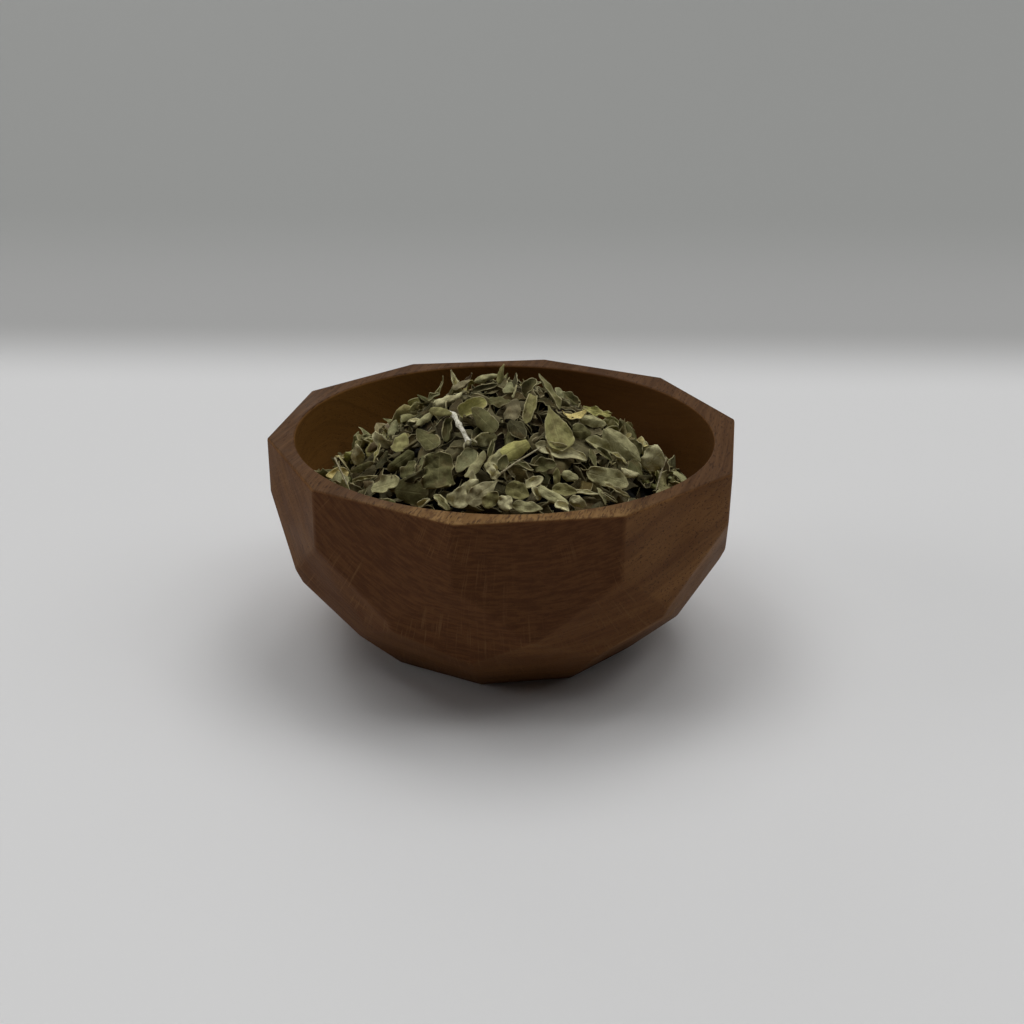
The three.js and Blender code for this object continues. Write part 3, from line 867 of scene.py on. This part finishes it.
SPIKE = {"base_power": 0.3, "tip_power": 1.2, "stand": 0}
SEEN_LEAVES = (
    # Along the top of the heap
    seen_leaf((463, 388), (472, 373), 1.8, "brown", curl=1.2, tip_curl=0.5, **SPIKE),
    seen_leaf((457, 388), (451, 370), 2.6, "painted_light_green", curl=1.4, tip_curl=0.6, base_power=0.3,
              tip_power=1.3, stand=0),
    seen_leaf((434, 398), (443, 376), 1.5, "olive", curl=1.6, arch=0.5, **SPIKE),
    seen_leaf((474, 382), (498, 375), 2.6, "pale_green", curl=-1.2, arch=-0.4),
    seen_leaf((499, 384), (504, 364), 4.4, "sage", fold=-0.6, curl=-0.5, **SPIKE),
    seen_leaf((514, 392), (516, 373), 2.0, "painted_shade_green", curl=0.8),
    seen_leaf((452, 388), (470, 380), 3.0, "brown_grey", curl=-0.8),
    seen_leaf((472, 392), (498, 384), 2.4, "painted_shade_green", curl=1.8),
    seen_leaf((528, 379), (541, 373), 1.5, "pale_green", curl=1.2, sink=2.7),
    seen_leaf((525, 396), (536, 379), 5.2, "deep_green", curl=0.9, margin=0.4),
    seen_leaf((506, 393), (511, 382), 2.8, "grey_green", curl=-0.5),
    seen_leaf((513, 398), (516, 385), 1.3, "pale_green", curl=1.2),
    seen_leaf((568, 392), (556, 382), 3.2, "grey_green", curl=-0.5, sink=1.7),
    seen_leaf((578, 402), (562, 389), 3.4, "dark_green", fold=0.3, sink=1.0),
    seen_leaf((560, 410), (539, 374), 3.6, "pale_green", fold=0.5, curl=0.5),
    seen_leaf((583, 402), (610, 408), 3.0, "yellow_green", curl=0.6, ripple=0.5, jag=0.08, sink=2.0),
    seen_leaf((489, 400), (512, 402), 3.6, "deep_green", curl=-0.3, jag=0.05),
    seen_leaf((433, 404), (462, 393), 3.4, "painted_light_green", curl=-1.5, arch=-0.2),
    seen_leaf((428, 400), (440, 394), 2.8, "grey_green", curl=1.2),
    seen_leaf((459, 414), (486, 401), 5.6, "yellow_green", curl=0.7, arch=-0.5, roll=-10, face=0.7),
    # The left side
    seen_leaf((406, 424), (432, 402), 3.8, "painted_shade_green", curl=-1.4),
    seen_leaf((389, 436), (396, 420), 3.2, "grey_green", curl=-0.8),
    seen_leaf((392, 446), (375, 432), 4.0, "painted_light_green", curl=0.8),
    seen_leaf((408, 421), (428, 422), 1.6, "painted_light_green", curl=1.4),
    seen_leaf((416, 425), (438, 409), 2.8, "pale_green", curl=-1.3),
    seen_leaf((429, 411), (452, 414), 3.0, "olive", curl=-1.2, stand=0, over=True),
    seen_leaf((447, 442), (450, 418), 4.4, "dark_green", curl=1.5, margin=0.6),
    seen_leaf((374, 462), (380, 443), 1.8, "yellow_green", curl=1.0),
    seen_leaf((358, 466), (357, 444), 4.8, "painted_light_green", curl=-0.5),
    seen_leaf((350, 471), (374, 462), 2.6, "deep_green", curl=-1.6),
    seen_leaf((375, 469), (387, 451), 2.8, "painted_shade_green", curl=-0.9),
    seen_leaf((396, 452), (405, 433), 4.6, "sage", curl=-0.2),
    seen_leaf((437, 447), (417, 429), 5.0, "deep_green", curl=-0.4),
    seen_leaf((414, 452), (388, 470), 5.2, "dark_green", curl=-1.0, arch=-0.3),
    seen_leaf((349, 471), (326, 475), 3.6, "straw", curl=0.3, face=0.8, sink=0.3),
    seen_leaf((352, 480), (377, 475), 1.5, "pale_green", curl=1.5, sink=0.3),
    seen_leaf((371, 489), (399, 479), 5.6, "pale_green", fold=-0.2, curl=0.3, ripple=0.3, margin=0.8,
              face=0.3, roll=0),
    seen_leaf((395, 490), (428, 494), 7.0, "deep_green", curl=-0.35, base_power=0.4, tip_power=0.4, face=1.0,
              roll=0, margin=0.5, tip_curl=0.0, twist=0.0, wrinkle=0.05),
    seen_leaf((403, 479), (415, 461), 4.2, "dark_green", curl=0.3),
    seen_leaf((404, 481), (424, 468), 3.2, "painted_shade_green", fold=-0.9),
    # The middle of the front
    seen_leaf((474, 441), (499, 437), 4.0, "pale_green", ripple=0.4, jag=0.05),
    seen_leaf((495, 432), (472, 408), 5.6, "deep_green", curl=-0.5, ripple=0.2),
    seen_leaf((508, 419), (518, 397), 4.9, "brown_grey", curl=-0.5, start=0.1),
    seen_leaf((526, 424), (533, 396), 4.5, "olive", curl=0.7),
    seen_leaf((507, 447), (511, 427), 3.2, "deep_green", curl=-0.7),
    seen_leaf((510, 420), (525, 438), 4.6, "painted_shade_green", fold=-0.4),
    seen_leaf((573, 431), (593, 433), 4.6, "deep_green", curl=-0.4, start=0.1),
    seen_leaf((580, 418), (606, 424), 4.0, "pale_green", curl=-1.5, face=0.6, roll=0),
    seen_leaf((437, 488), (440, 452), 9.2, "deep_green", curl=-0.3, ripple=0.3, wrinkle=0.35, uneven=0.13,
              tip_power=0.35, base_power=0.3, face=0.8, roll=0),
    seen_leaf((475, 450), (457, 472), 5.2, "grey_green", curl=0.5, base_power=0.4),
    seen_leaf((465, 477), (484, 451), 3.8, "pale_green", curl=-0.6),
    seen_leaf((489, 457), (492, 441), 2.6, "dark_green", curl=1.0),
    seen_leaf((486, 470), (504, 448), 4.2, "pale_green", curl=-0.8),
    seen_leaf((503, 456), (533, 440), 6.0, "yellow_green", curl=-0.7, start=0.08, end=0.92, margin=0.0,
              twist=0.0, tip_curl=0.0, wrinkle=0.05, face=0.7, roll=0),
    seen_leaf((500, 470), (506, 455), 3.4, "dark_green", curl=0.6),
    seen_leaf((496, 479), (490, 462), 3.2, "painted_light_green", wrinkle=0.4, jag=0.1),
    seen_leaf((535, 444), (586, 460), 4.8, "painted_light_green", curl=0.3, ripple=0.3, arch=0.2, face=0.4, roll=0),
    seen_leaf((510, 462), (533, 470), 3.2, "dark_green", curl=0.8),
    seen_leaf((475, 490), (472, 470), 2.4, "painted_light_green", curl=-0.8),
    seen_leaf((460, 494), (478, 480), 3.6, "painted_light_green", fold=-0.4),
    # The right side
    seen_leaf((637, 443), (620, 418), 5.6, "deep_green", fold=-0.6, curl=-0.3, sink=0.7),
    seen_leaf((640, 440), (632, 424), 3.8, "deep_green", fold=-0.5),
    seen_leaf((643, 448), (646, 431), 1.9, "painted_light_green", curl=1.0, tip_power=1.2, sink=2.2),
    seen_leaf((645, 463), (662, 446), 6.4, "painted_light_green", curl=-0.3, base_power=0.3, tip_power=0.3, face=0.2,
              roll=0),
    seen_leaf((603, 430), (640, 461), 6.2, "pale_green", curl=-0.3, fold=-0.2, face=0.7),
    seen_leaf((585, 440), (612, 452), 4.8, "pale_green", fold=0.5, curl=0.4),
    seen_leaf((632, 459), (641, 475), 4.2, "dark_green", curl=-0.4),
    seen_leaf((597, 448), (612, 461), 2.8, "dark_green", fold=0.8),
    seen_leaf((611, 453), (627, 464), 2.4, "painted_light_green", fold=0.9),
    seen_leaf((590, 449), (596, 467), 2.2, "deep_green", fold=0.6),
    seen_leaf((622, 470), (639, 474), 2.8, "painted_light_green", curl=-0.5, face=0.6, roll=0),
    seen_leaf((638, 477), (652, 476), 1.9, "painted_shade_green", curl=-0.5),
    seen_leaf((586, 472), (628, 484), 5.2, "pale_green", ripple=0.35, curl=0.2, base_power=0.35,
              tip_power=0.35),
    seen_leaf((534, 468), (556, 464), 4.6, "deep_green", curl=0.6, margin=0.3, face=0.3, roll=0),
    seen_leaf((558, 487), (557, 468), 2.5, "olive", curl=-0.6),
    seen_leaf((526, 485), (543, 475), 3.5, "painted_light_green", curl=0.9, roll=15),
    seen_leaf((562, 473), (578, 479), 3.0, "pale_green", curl=-0.5),
    # Low on the front, behind the rim
    seen_leaf((552, 489), (577, 492), 3.6, "olive", curl=0.3),
    seen_leaf((506, 486), (529, 496), 4.8, "olive", curl=0.2, face=0.3, roll=0),
    seen_leaf((540, 500), (532, 487), 2.8, "painted_light_green", curl=0.5),
    seen_leaf((538, 487), (568, 504), 3.4, "pale_green", fold=0.1, curl=-0.3, face=0.3, roll=0),
    seen_leaf((570, 498), (586, 506), 3.2, "painted_light_green", curl=-0.4),
    seen_leaf((572, 491), (598, 494), 1.4, "painted_light_green", curl=1.5),
    seen_leaf((597, 488), (605, 505), 2.0, "pale_green", fold=0.8),
    seen_leaf((604, 484), (629, 497), 1.8, "painted_light_green", fold=0.9),
    seen_leaf((601, 493), (617, 502), 1.4, "painted_shade_green", fold=0.9),
    seen_leaf((555, 503), (569, 511), 3.0, "painted_light_green", curl=0.6),
    seen_leaf((512, 505), (542, 509), 3.0, "pale_green", ripple=0.3, face=0.6, roll=0),
    seen_leaf((500, 508), (511, 497), 4.2, "painted_light_green", ripple=0.3),
    seen_leaf((454, 507), (465, 484), 5.6, "painted_light_green", curl=0.3, base_power=0.35, tip_power=1.1, face=0.6,
              roll=0, stand=2),
    seen_leaf((467, 503), (497, 481), 4.8, "painted_light_green", fold=0.1, curl=-0.3, tip_power=1.0, face=0.6,
              roll=-10, stand=2),
    seen_leaf((484, 507), (497, 492), 3.8, "olive", curl=-0.4),
    seen_leaf((450, 508), (434, 494), 4.0, "pale_green", curl=1.5, margin=0.8, sink=0.3),
    seen_leaf((418, 506), (430, 499), 2.2, "painted_light_green", curl=0.8),
)
BEND_FIELDS = {"fold", "margin", "arch", "tip_curl", "twist", "ripple", "wrinkle", "uneven", "base_power",
               "tip_power", "start", "end", "jag"}
SEEN_ROWS = 16
# What a pixel covers at the heap, and how many times too long a leaf must come out to reach past the crest
MM_A_PIXEL = 1 / 3.6
PAST_CREST = 1.8
# How far above the heap a leaf may stand, and from what gap on the heap is raised under it
PROUD_GAP = 4.0
LEAST_FILLED_GAP = 1.0
# The distances along the view that are searched for the heap, and how far a leaf slides from there
NEAREST_VIEW = 250.0
USUAL_VIEW = 360.0
FARTHEST_VIEW = 430.0
VIEW_STEP = 0.25
MOST_SLIDE = 9.0


def on_heap(pixel, beyond=None):
    """Where the view through a pixel meets the heap, or the point on it at a given distance."""
    ray = pixel_ray(pixel)
    distance = np.arange(NEAREST_VIEW, FARTHEST_VIEW, VIEW_STEP)
    points = CAMERA_PLACE + distance[:, None] * ray
    x, y, z = points.T
    under = (z < heap_surface(x, y)) & (from_axis(x, y) < MOUTH_RADIUS - 3)
    if under.any():
        return points[np.argmax(under)]
    return CAMERA_PLACE + (beyond or USUAL_VIEW) * ray


def bent_leaf(entry, length):
    """A single leaf with the bends that an entry names, of a straight length from base to tip."""
    leaf = Leaves(1)
    leaf.width[:] = entry["width"]
    curl = 1.6 * math.tanh(1.2 * entry.get("curl", 0.0))
    leaf.left_curl[:] = curl + rng.normal(0, 0.35)
    leaf.right_curl[:] = curl + rng.normal(0, 0.35)
    leaf.uneven[:] = 0.07
    leaf.wrinkle[:] = rng.uniform(0.08, 0.17)
    leaf.ripple[:] = 0.14
    leaf.margin[:] = rng.normal(0.3, 0.6)
    leaf.tip_curl[:] = rng.normal(0, 0.6)
    leaf.curl_change[:] = rng.uniform(-0.8, 0.8)
    leaf.twist[:] = rng.normal(0, 0.4)
    for field in BEND_FIELDS & set(entry):
        getattr(leaf, field)[:] = entry[field]
    leaf.length[:] = 1.0
    _, rib_x, rib_z = midribs(leaf)
    first = int(np.searchsorted(RIB_SHARES, 0.0))
    straight = math.hypot(rib_x[0, -1] - rib_x[0, first], rib_z[0, -1] - rib_z[0, first])
    leaf.length[:] = length / straight
    sheet, place = leaf_sheets(leaf, SEEN_ROWS)
    sheet, place = sheet[0], place[0]
    rib = sheet[:, len(COLUMN_SHARES) // 2]
    slope = math.atan2(rib[-1, 2] - rib[0, 2], rib[-1, 0] - rib[0, 0])
    cos, sin = math.cos(slope), math.sin(slope)
    turn = np.array([[cos, 0, -sin], [0, 1, 0], [sin, 0, cos]])
    return (sheet - rib[0]) @ turn, place


def facing(heap, middle, along, entry):
    """The axes of a seen leaf: its upper side between the heap's slope and the camera, then rolled."""
    to_camera = unit(CAMERA_PLACE - middle)
    share = entry.get("face", 0.5)
    upper = (1 - share) * heap.slope_normal(*middle[:2]) + share * to_camera
    axes = frame_of(along, upper)
    roll = math.radians(entry.get("roll", rng.normal(0, 18)))
    upper = axes[:, 2] * math.cos(roll) + axes[:, 1] * math.sin(roll)
    return frame_of(along, upper)


def settle(heap, sheet):
    """Slides a leaf along the view from the camera until it lies on the heap, and off the wall."""
    view = unit(sheet.mean(axis=(0, 1)) - CAMERA_PLACE)
    near, far = -MOST_SLIDE, MOST_SLIDE
    for _ in range(18):
        middle = (near + far) / 2
        if heap.gap(sheet + view * middle, heap.top, SLID) > 0:
            near = middle
        else:
            far = middle
    sheet = sheet + view * near
    for _ in range(3):
        out = sheet[..., :2] - MOUTH_CENTRE
        reach = np.linalg.norm(out, axis=-1)
        past = reach - wall_radius(sheet[..., 2])
        worst = np.unravel_index(np.argmax(past), past.shape)
        if past[worst] <= 0:
            break
        sheet[..., :2] -= out[worst] / reach[worst] * (past[worst] + 0.1)
    return sheet


def lay_seen_leaf(heap, entry):
    """Lays a leaf where it is seen, and raises the heap under it where it stands proud at the crest."""
    base = on_heap(entry["base"])
    distance = np.linalg.norm(base - CAMERA_PLACE)
    tip = on_heap(entry["tip"], distance)
    if np.linalg.norm(tip - base) > PAST_CREST * MM_A_PIXEL * math.dist(entry["base"], entry["tip"]):
        tip = CAMERA_PLACE + distance * pixel_ray(entry["tip"])
    stand = entry.get("stand", rng.uniform(-1.0, 3.0))
    base = base + pixel_ray(entry["base"]) * stand / 2
    tip = tip - pixel_ray(entry["tip"]) * stand / 2
    sheet, place = bent_leaf(entry, np.linalg.norm(tip - base))
    axes = facing(heap, (base + tip) / 2, tip - base, entry)
    sheet = settle(heap, base + sheet @ axes.T)
    gap = heap.gap(sheet, heap.top, PROUD)
    sheet[..., 2] -= max(gap - PROUD_GAP, 0.0)
    if gap > LEAST_FILLED_GAP:
        heap.fill_under(sheet)
    heap.cover(sheet)
    heap.keep(sheet)
    return sheet, place


def seen_piece(heap, name, entries, material):
    """Leaves that are placed as the photograph shows them."""
    laid = [lay_seen_leaf(heap, entry) for entry in entries]
    sheets = np.array([sheet for sheet, _ in laid])
    for sheet, entry in zip(sheets, entries):
        sheet[..., 2] -= entry.get("sink", 0.0)
    places = np.array([place for _, place in laid])
    tints = np.array([TINTS[entry["tint"]] for entry in entries])
    piece = leaf_piece(name, sheets, places, tints, material)
    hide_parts("leaf_heap")


def core_piece(material):
    """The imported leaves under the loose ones, down to the bottom of the hollow."""
    edge_depth = CORE_DEPTH - HEAP_AT_WALL
    gap = 0.9
    profile = []
    steps = 24
    for i in range(steps + 1):
        depth = edge_depth + (HOLLOW_DEPTH - gap - edge_depth) * math.cos(i / steps * math.pi / 2)
        profile.append((float(hollow_radius(depth, gap)), BOWL_HEIGHT - depth))
    edge = profile[-1][0]
    rings = 40
    for i in range(1, rings + 1):
        radius = edge * (1 - i / rings)
        height = float(heap_surface(MOUTH_CENTRE[0] + radius, MOUTH_CENTRE[1])) - CORE_DEPTH
        profile.append((radius, height))
    points, faces = turned_mesh(profile, 96)
    points = np.array(points)
    x, y, z = points.T
    bumps = np.sin(x * 1.3) * np.sin(y * 1.1) + np.sin(x * 0.6 - y * 0.8)
    points[:, 2] += np.where(z > BOWL_HEIGHT - edge_depth + 1, 0.5 * bumps, 0)
    core = mesh_object("leaf_core", points, faces, material, smooth_below=60)
    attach(core, "root")
    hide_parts("leaf_heap")


def core_painted_shade_material():
    """Crumbled leaves, painted almost black between the loose ones: painted shade."""
    shader = Shader("leaf_crumbs_painted_shade", Roughness=0.9)
    crumbs = shader.noise(shader.place, 500.0, detail=2.0)
    spread = shader.noise(shader.place, 1400.0)
    colour = shader.tone(spread, 0.35, 0.65, srgb(8, 7, 5), srgb(22, 18, 12))
    colour = shader.tone(crumbs, 0.5, 0.7, colour, srgb(40, 33, 20), 0.5)
    return shader.set(Base_Color=colour, Normal=shader.bump(spread, 0.0006, 0.8))


LEAVES_A_PIECE = 540


def loose_leaves(heap, name, material, count, smallest, largest, torn, spread, above, rows,
                 shade=(1.0, 1.0, 1.0)):
    """Leaves at random on the low places of the heap, in as many pieces as they need."""
    leaves = random_leaves(count, smallest, largest, torn)
    made, where = leaf_sheets(leaves, rows)
    numbers, sheets = lay_leaves(heap, centred(made), spread, above)
    places = where[numbers]
    # shade darkens and browns the tints of whole pieces: painted shade, for leaves deep in the heap and for
    # those that fill the gaps
    tints = random_tints(len(numbers)) * (*shade, 1.0)
    for number, first in enumerate(range(0, len(sheets), LEAVES_A_PIECE), start=1):
        part = slice(first, first + LEAVES_A_PIECE)
        piece = leaf_piece(f"{name}_{number}", sheets[part], places[part], tints[part], material)
        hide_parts("leaf_heap")


def heap_pieces(heap, material):
    """The heap's leaves: large ones below, then those the photograph shows, then small ones between."""
    # The large leaves below are painted nearly black and brown: painted shade, as they lie deep in the gaps
    loose_leaves(heap, "under_leaves", material, count=620, smallest=6.0, largest=12.0, torn=0.15,
                 spread=0.7, above=-2.6, rows=10, shade=(0.2, 0.16, 0.13))
    seen_piece(heap, "front_leaves", [entry for entry in SEEN_LEAVES if not entry.get("over")], material)
    for name, entry in LONE_LEAVES.items():
        lone_leaf(heap, name, entry, material)
    loose_pieces(heap)
    seen_piece(heap, "leaf_over_twig", [entry for entry in SEEN_LEAVES if entry.get("over")], material)
    loose_leaves(heap, "upper_leaves", material, count=540, smallest=5.0, largest=11.0, torn=0.2,
                 spread=0.55, above=1.2, rows=10)
    # The small leaves between are painted a little darker: painted shade in the gaps
    loose_leaves(heap, "small_leaves", material, count=420, smallest=2.0, largest=5.0, torn=0.6,
                 spread=0.9, above=0.0, rows=7, shade=(0.74, 0.68, 0.6))


# The loose pieces that lie on the heap

LONE_LEAVES = {
    "large_leaf": {
        "base": (11.0, -13.6, 70.0), "tip": (14.6, -24.2, 61.4), "width": 8.4, "tint": "sage",
        "curl": 0.25, "fold": -0.1, "margin": 0.5, "base_power": 1.25, "tip_power": 0.42, "ripple": 0.12,
        "wrinkle": 0.2, "tip_curl": 0.3, "twist": 0.0, "uneven": 0.04, "upper": (0.05, -0.8, 0.6),
        "slot": "pale_leaf"},
    "yellow_leaf": {
        "base": (14.8, -12.7, 68.1), "tip": (21.1, -9.9, 67.2), "width": 3.2, "tint": "straw", "curl": 0.1,
        "margin": 0.2, "arch": 1.1, "tip_curl": 0.0, "twist": 0.0, "jag": 0.04, "upper": (0.1, -0.25, 0.97),
        "slot": "yellow_leaf"},
}


def lone_leaf(heap, name, entry, material):
    """A leaf with a node of its own, laid where the node is."""
    base = np.array(entry["base"])
    tip = np.array(entry["tip"])
    sheet, place = bent_leaf(entry, np.linalg.norm(tip - base))
    axes = frame_of(tip - base, np.array(entry["upper"]))
    sheet = settle(heap, base + sheet @ axes.T)
    heap.cover(sheet)
    heap.keep(sheet)
    piece = leaf_piece(name + "_blade", sheet[None], place[None], np.array([TINTS[entry["tint"]]]), material)
    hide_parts(name)


def smooth_course(points, steps):
    """A smooth line through points, in even steps, by Catmull and Rom's rule."""
    points = np.array(points, float)
    ends = np.concatenate([[2 * points[0] - points[1]], points, [2 * points[-1] - points[-2]]])
    course = []
    for a, b, c, d in zip(ends, ends[1:], ends[2:], ends[3:]):
        for t in np.arange(steps) / steps:
            bend = 2 * a - 5 * b + 4 * c - d + t * (3 * (b - c) + d - a)
            course.append(b + 0.5 * t * (c - a + t * bend))
    course.append(points[-1])
    return np.array(course)


def stem_piece(name, course, radius, taper, knots, roughness, material):
    """A dry stem: a round rod along a course, that tapers, swells at its knots and is a little uneven.

    A knot is its place as a share of the length, how much it adds to the radius, and its reach."""
    line = smooth_course(course, 10)
    share = np.concatenate([[0], np.cumsum(np.linalg.norm(np.diff(line, axis=0), axis=1))])
    length = share[-1]
    share = share / length
    sides = 14
    angles = np.arange(sides) * 2 * math.pi / sides
    heading = np.gradient(line, axis=0)
    heading /= np.linalg.norm(heading, axis=1, keepdims=True)
    side = np.cross(heading[0], (0.0, 0.0, 1.0))
    points = [line[0] - heading[0] * radius * 0.3]
    waves = rng.normal(0, roughness, (len(line), sides))
    for number, (middle, way) in enumerate(zip(line, heading)):
        side = unit(side - side @ way * way)
        other = np.cross(way, side)
        thick = radius * (1 - (1 - taper) * share[number])
        thick += sum(extra * math.exp(-(((share[number] - at) * length / reach) ** 2))
                     for at, extra, reach in knots)
        if number in (0, len(line) - 1):
            thick *= 0.7
        ring = thick * (1 + waves[number])[:, None]
        points.extend(middle + ring * (np.cos(angles)[:, None] * side + np.sin(angles)[:, None] * other))
    points.append(line[-1] + heading[-1] * radius * 0.3)
    piece = mesh_object(name, points, tube_faces(len(line), sides), material, smooth_below=70)
    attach(piece, "root")
    return piece


def bark_material():
    """Pale woolly bark, greyer in patches."""
    shader = Shader("woolly_bark", Roughness=0.9, Specular_IOR_Level=0.1)
    wool = shader.noise(shader.place, 1500.0, detail=4.0, roughness=0.7)
    patch = shader.noise(shader.place, 420.0, detail=2.0)
    colour = shader.tone(wool, 0.3, 0.6, srgb(178, 172, 146), srgb(246, 242, 224))
    colour = shader.tone(patch, 0.55, 0.75, colour, srgb(130, 124, 96), 0.5)
    return shader.set(Base_Color=colour, Normal=shader.bump(wool, 0.00015, 0.7))


def stem_material():
    """A thin dry stalk, straw to grey-green, with fine streaks."""
    shader = Shader("dry_stem", Roughness=0.6, Specular_IOR_Level=0.2)
    streak = shader.noise(shader.place, 1100.0)
    colour = shader.tone(streak, 0.35, 0.65, srgb(150, 138, 104), srgb(196, 188, 154))
    return shader.set(Base_Color=colour, Normal=shader.bump(streak, 0.00012, 0.6))


def lay_stem(heap, course, radius):
    """Slides a stem along the view until it lies on the leaves, and keeps them from covering it."""
    line = smooth_course(course, 4)
    under = line[None] - (0.0, 0.0, radius)
    shift = (settle(heap, under) - under)[0, 0]
    heap.cover(line[None] + shift + (0.0, 0.0, radius))
    heap.keep(line[None] + shift)
    return [tuple(point + shift) for point in np.array(course, float)]


TWIG_RADIUS = 0.62
STEM_RADIUS = 0.27
LAID_STEM_RADIUS = 0.3
TWIG_COURSE = [(-18.2, -10.3, 67.5), (-15.6, -13.4, 67.8), (-13.7, -15.7, 67.7), (-12.4, -19.1, 66.6),
               (-10.9, -22.2, 65.3), (-9.4, -25.5, 63.4)]
STEM_COURSES = {
    "long_stem": [(-1.3, -32.9, 58.5), (2.0, -30.9, 60.3), (5.6, -28.5, 61.8), (8.9, -26.1, 63.0)],
    "left_stem": [(-46.4, -8.3, 52.5), (-45.1, -10.7, 50.9), (-43.5, -13.1, 48.8), (-41.3, -16.6, 45.5)],
    "right_stem": [(43.3, -8.6, 53.5), (42.1, -11.1, 51.1), (41.4, -12.7, 49.6), (40.2, -15.7, 46.8)],
}


def twig_buds(end, way, material):
    """Small dry buds that close round the end of the twig."""
    count = 6
    buds = Leaves(count)
    buds.length[:] = rng.uniform(1.9, 2.7, count)
    buds.width[:] = rng.uniform(1.1, 1.5, count)
    buds.left_curl[:] = buds.right_curl[:] = 1.6
    buds.arch[:] = 0.5
    buds.uneven[:] = 0.08
    sheets, places = leaf_sheets(buds, 10)
    way = unit(way)
    side = unit(np.cross(way, (0.0, 0.0, 1.0)))
    other = np.cross(side, way)
    laid = []
    for number, sheet in enumerate(sheets):
        angle = number / count * 2 * math.pi
        outward = math.cos(angle) * side + math.sin(angle) * other
        along = way * rng.uniform(0.75, 0.95) + outward * rng.uniform(0.35, 0.6)
        foot = end - way * rng.uniform(0.6, 1.4) + outward * 0.35
        laid.append(foot + sheet @ frame_of(along, -outward).T)
    tints = np.tile(srgb(196, 192, 160), (count, 1))
    piece = leaf_piece("woolly_twig_buds", np.array(laid), places, tints, material, thickness=0.24)
    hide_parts("woolly_twig")


def loose_pieces(heap):
    """The twig with its buds, and the three stems. The two that stand by the wall stay where they are."""
    twig_course = lay_stem(heap, TWIG_COURSE, TWIG_RADIUS)
    twig = stem_piece("woolly_twig_rod", twig_course, radius=TWIG_RADIUS, taper=0.9,
                      knots=[(0.37, 0.25, 0.8), (0.6, 0.3, 0.7), (0.97, 0.35, 1.0)], roughness=0.05,
                      material=bark_material())
    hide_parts("woolly_twig")
    end = np.array(twig_course[-1])
    twig_buds(end, end - np.array(twig_course[-2]), leaf_material("dry_buds"))
    dry = stem_material()
    for name, course in STEM_COURSES.items():
        if name == "long_stem":
            course = lay_stem(heap, course, LAID_STEM_RADIUS)
        rod = stem_piece(name + "_rod", course, radius=STEM_RADIUS, taper=0.7, knots=[(0.02, 0.1, 0.6)],
                         roughness=0.06, material=dry)
        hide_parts(name)


make_camera()
make_stage()
make_lights()
make_room()
bpy.context.scene.view_settings.view_transform = "Standard"

bowl_piece()
heap = Heap()
core_piece(core_painted_shade_material())
heap_pieces(heap, leaf_material("dried_leaf"))
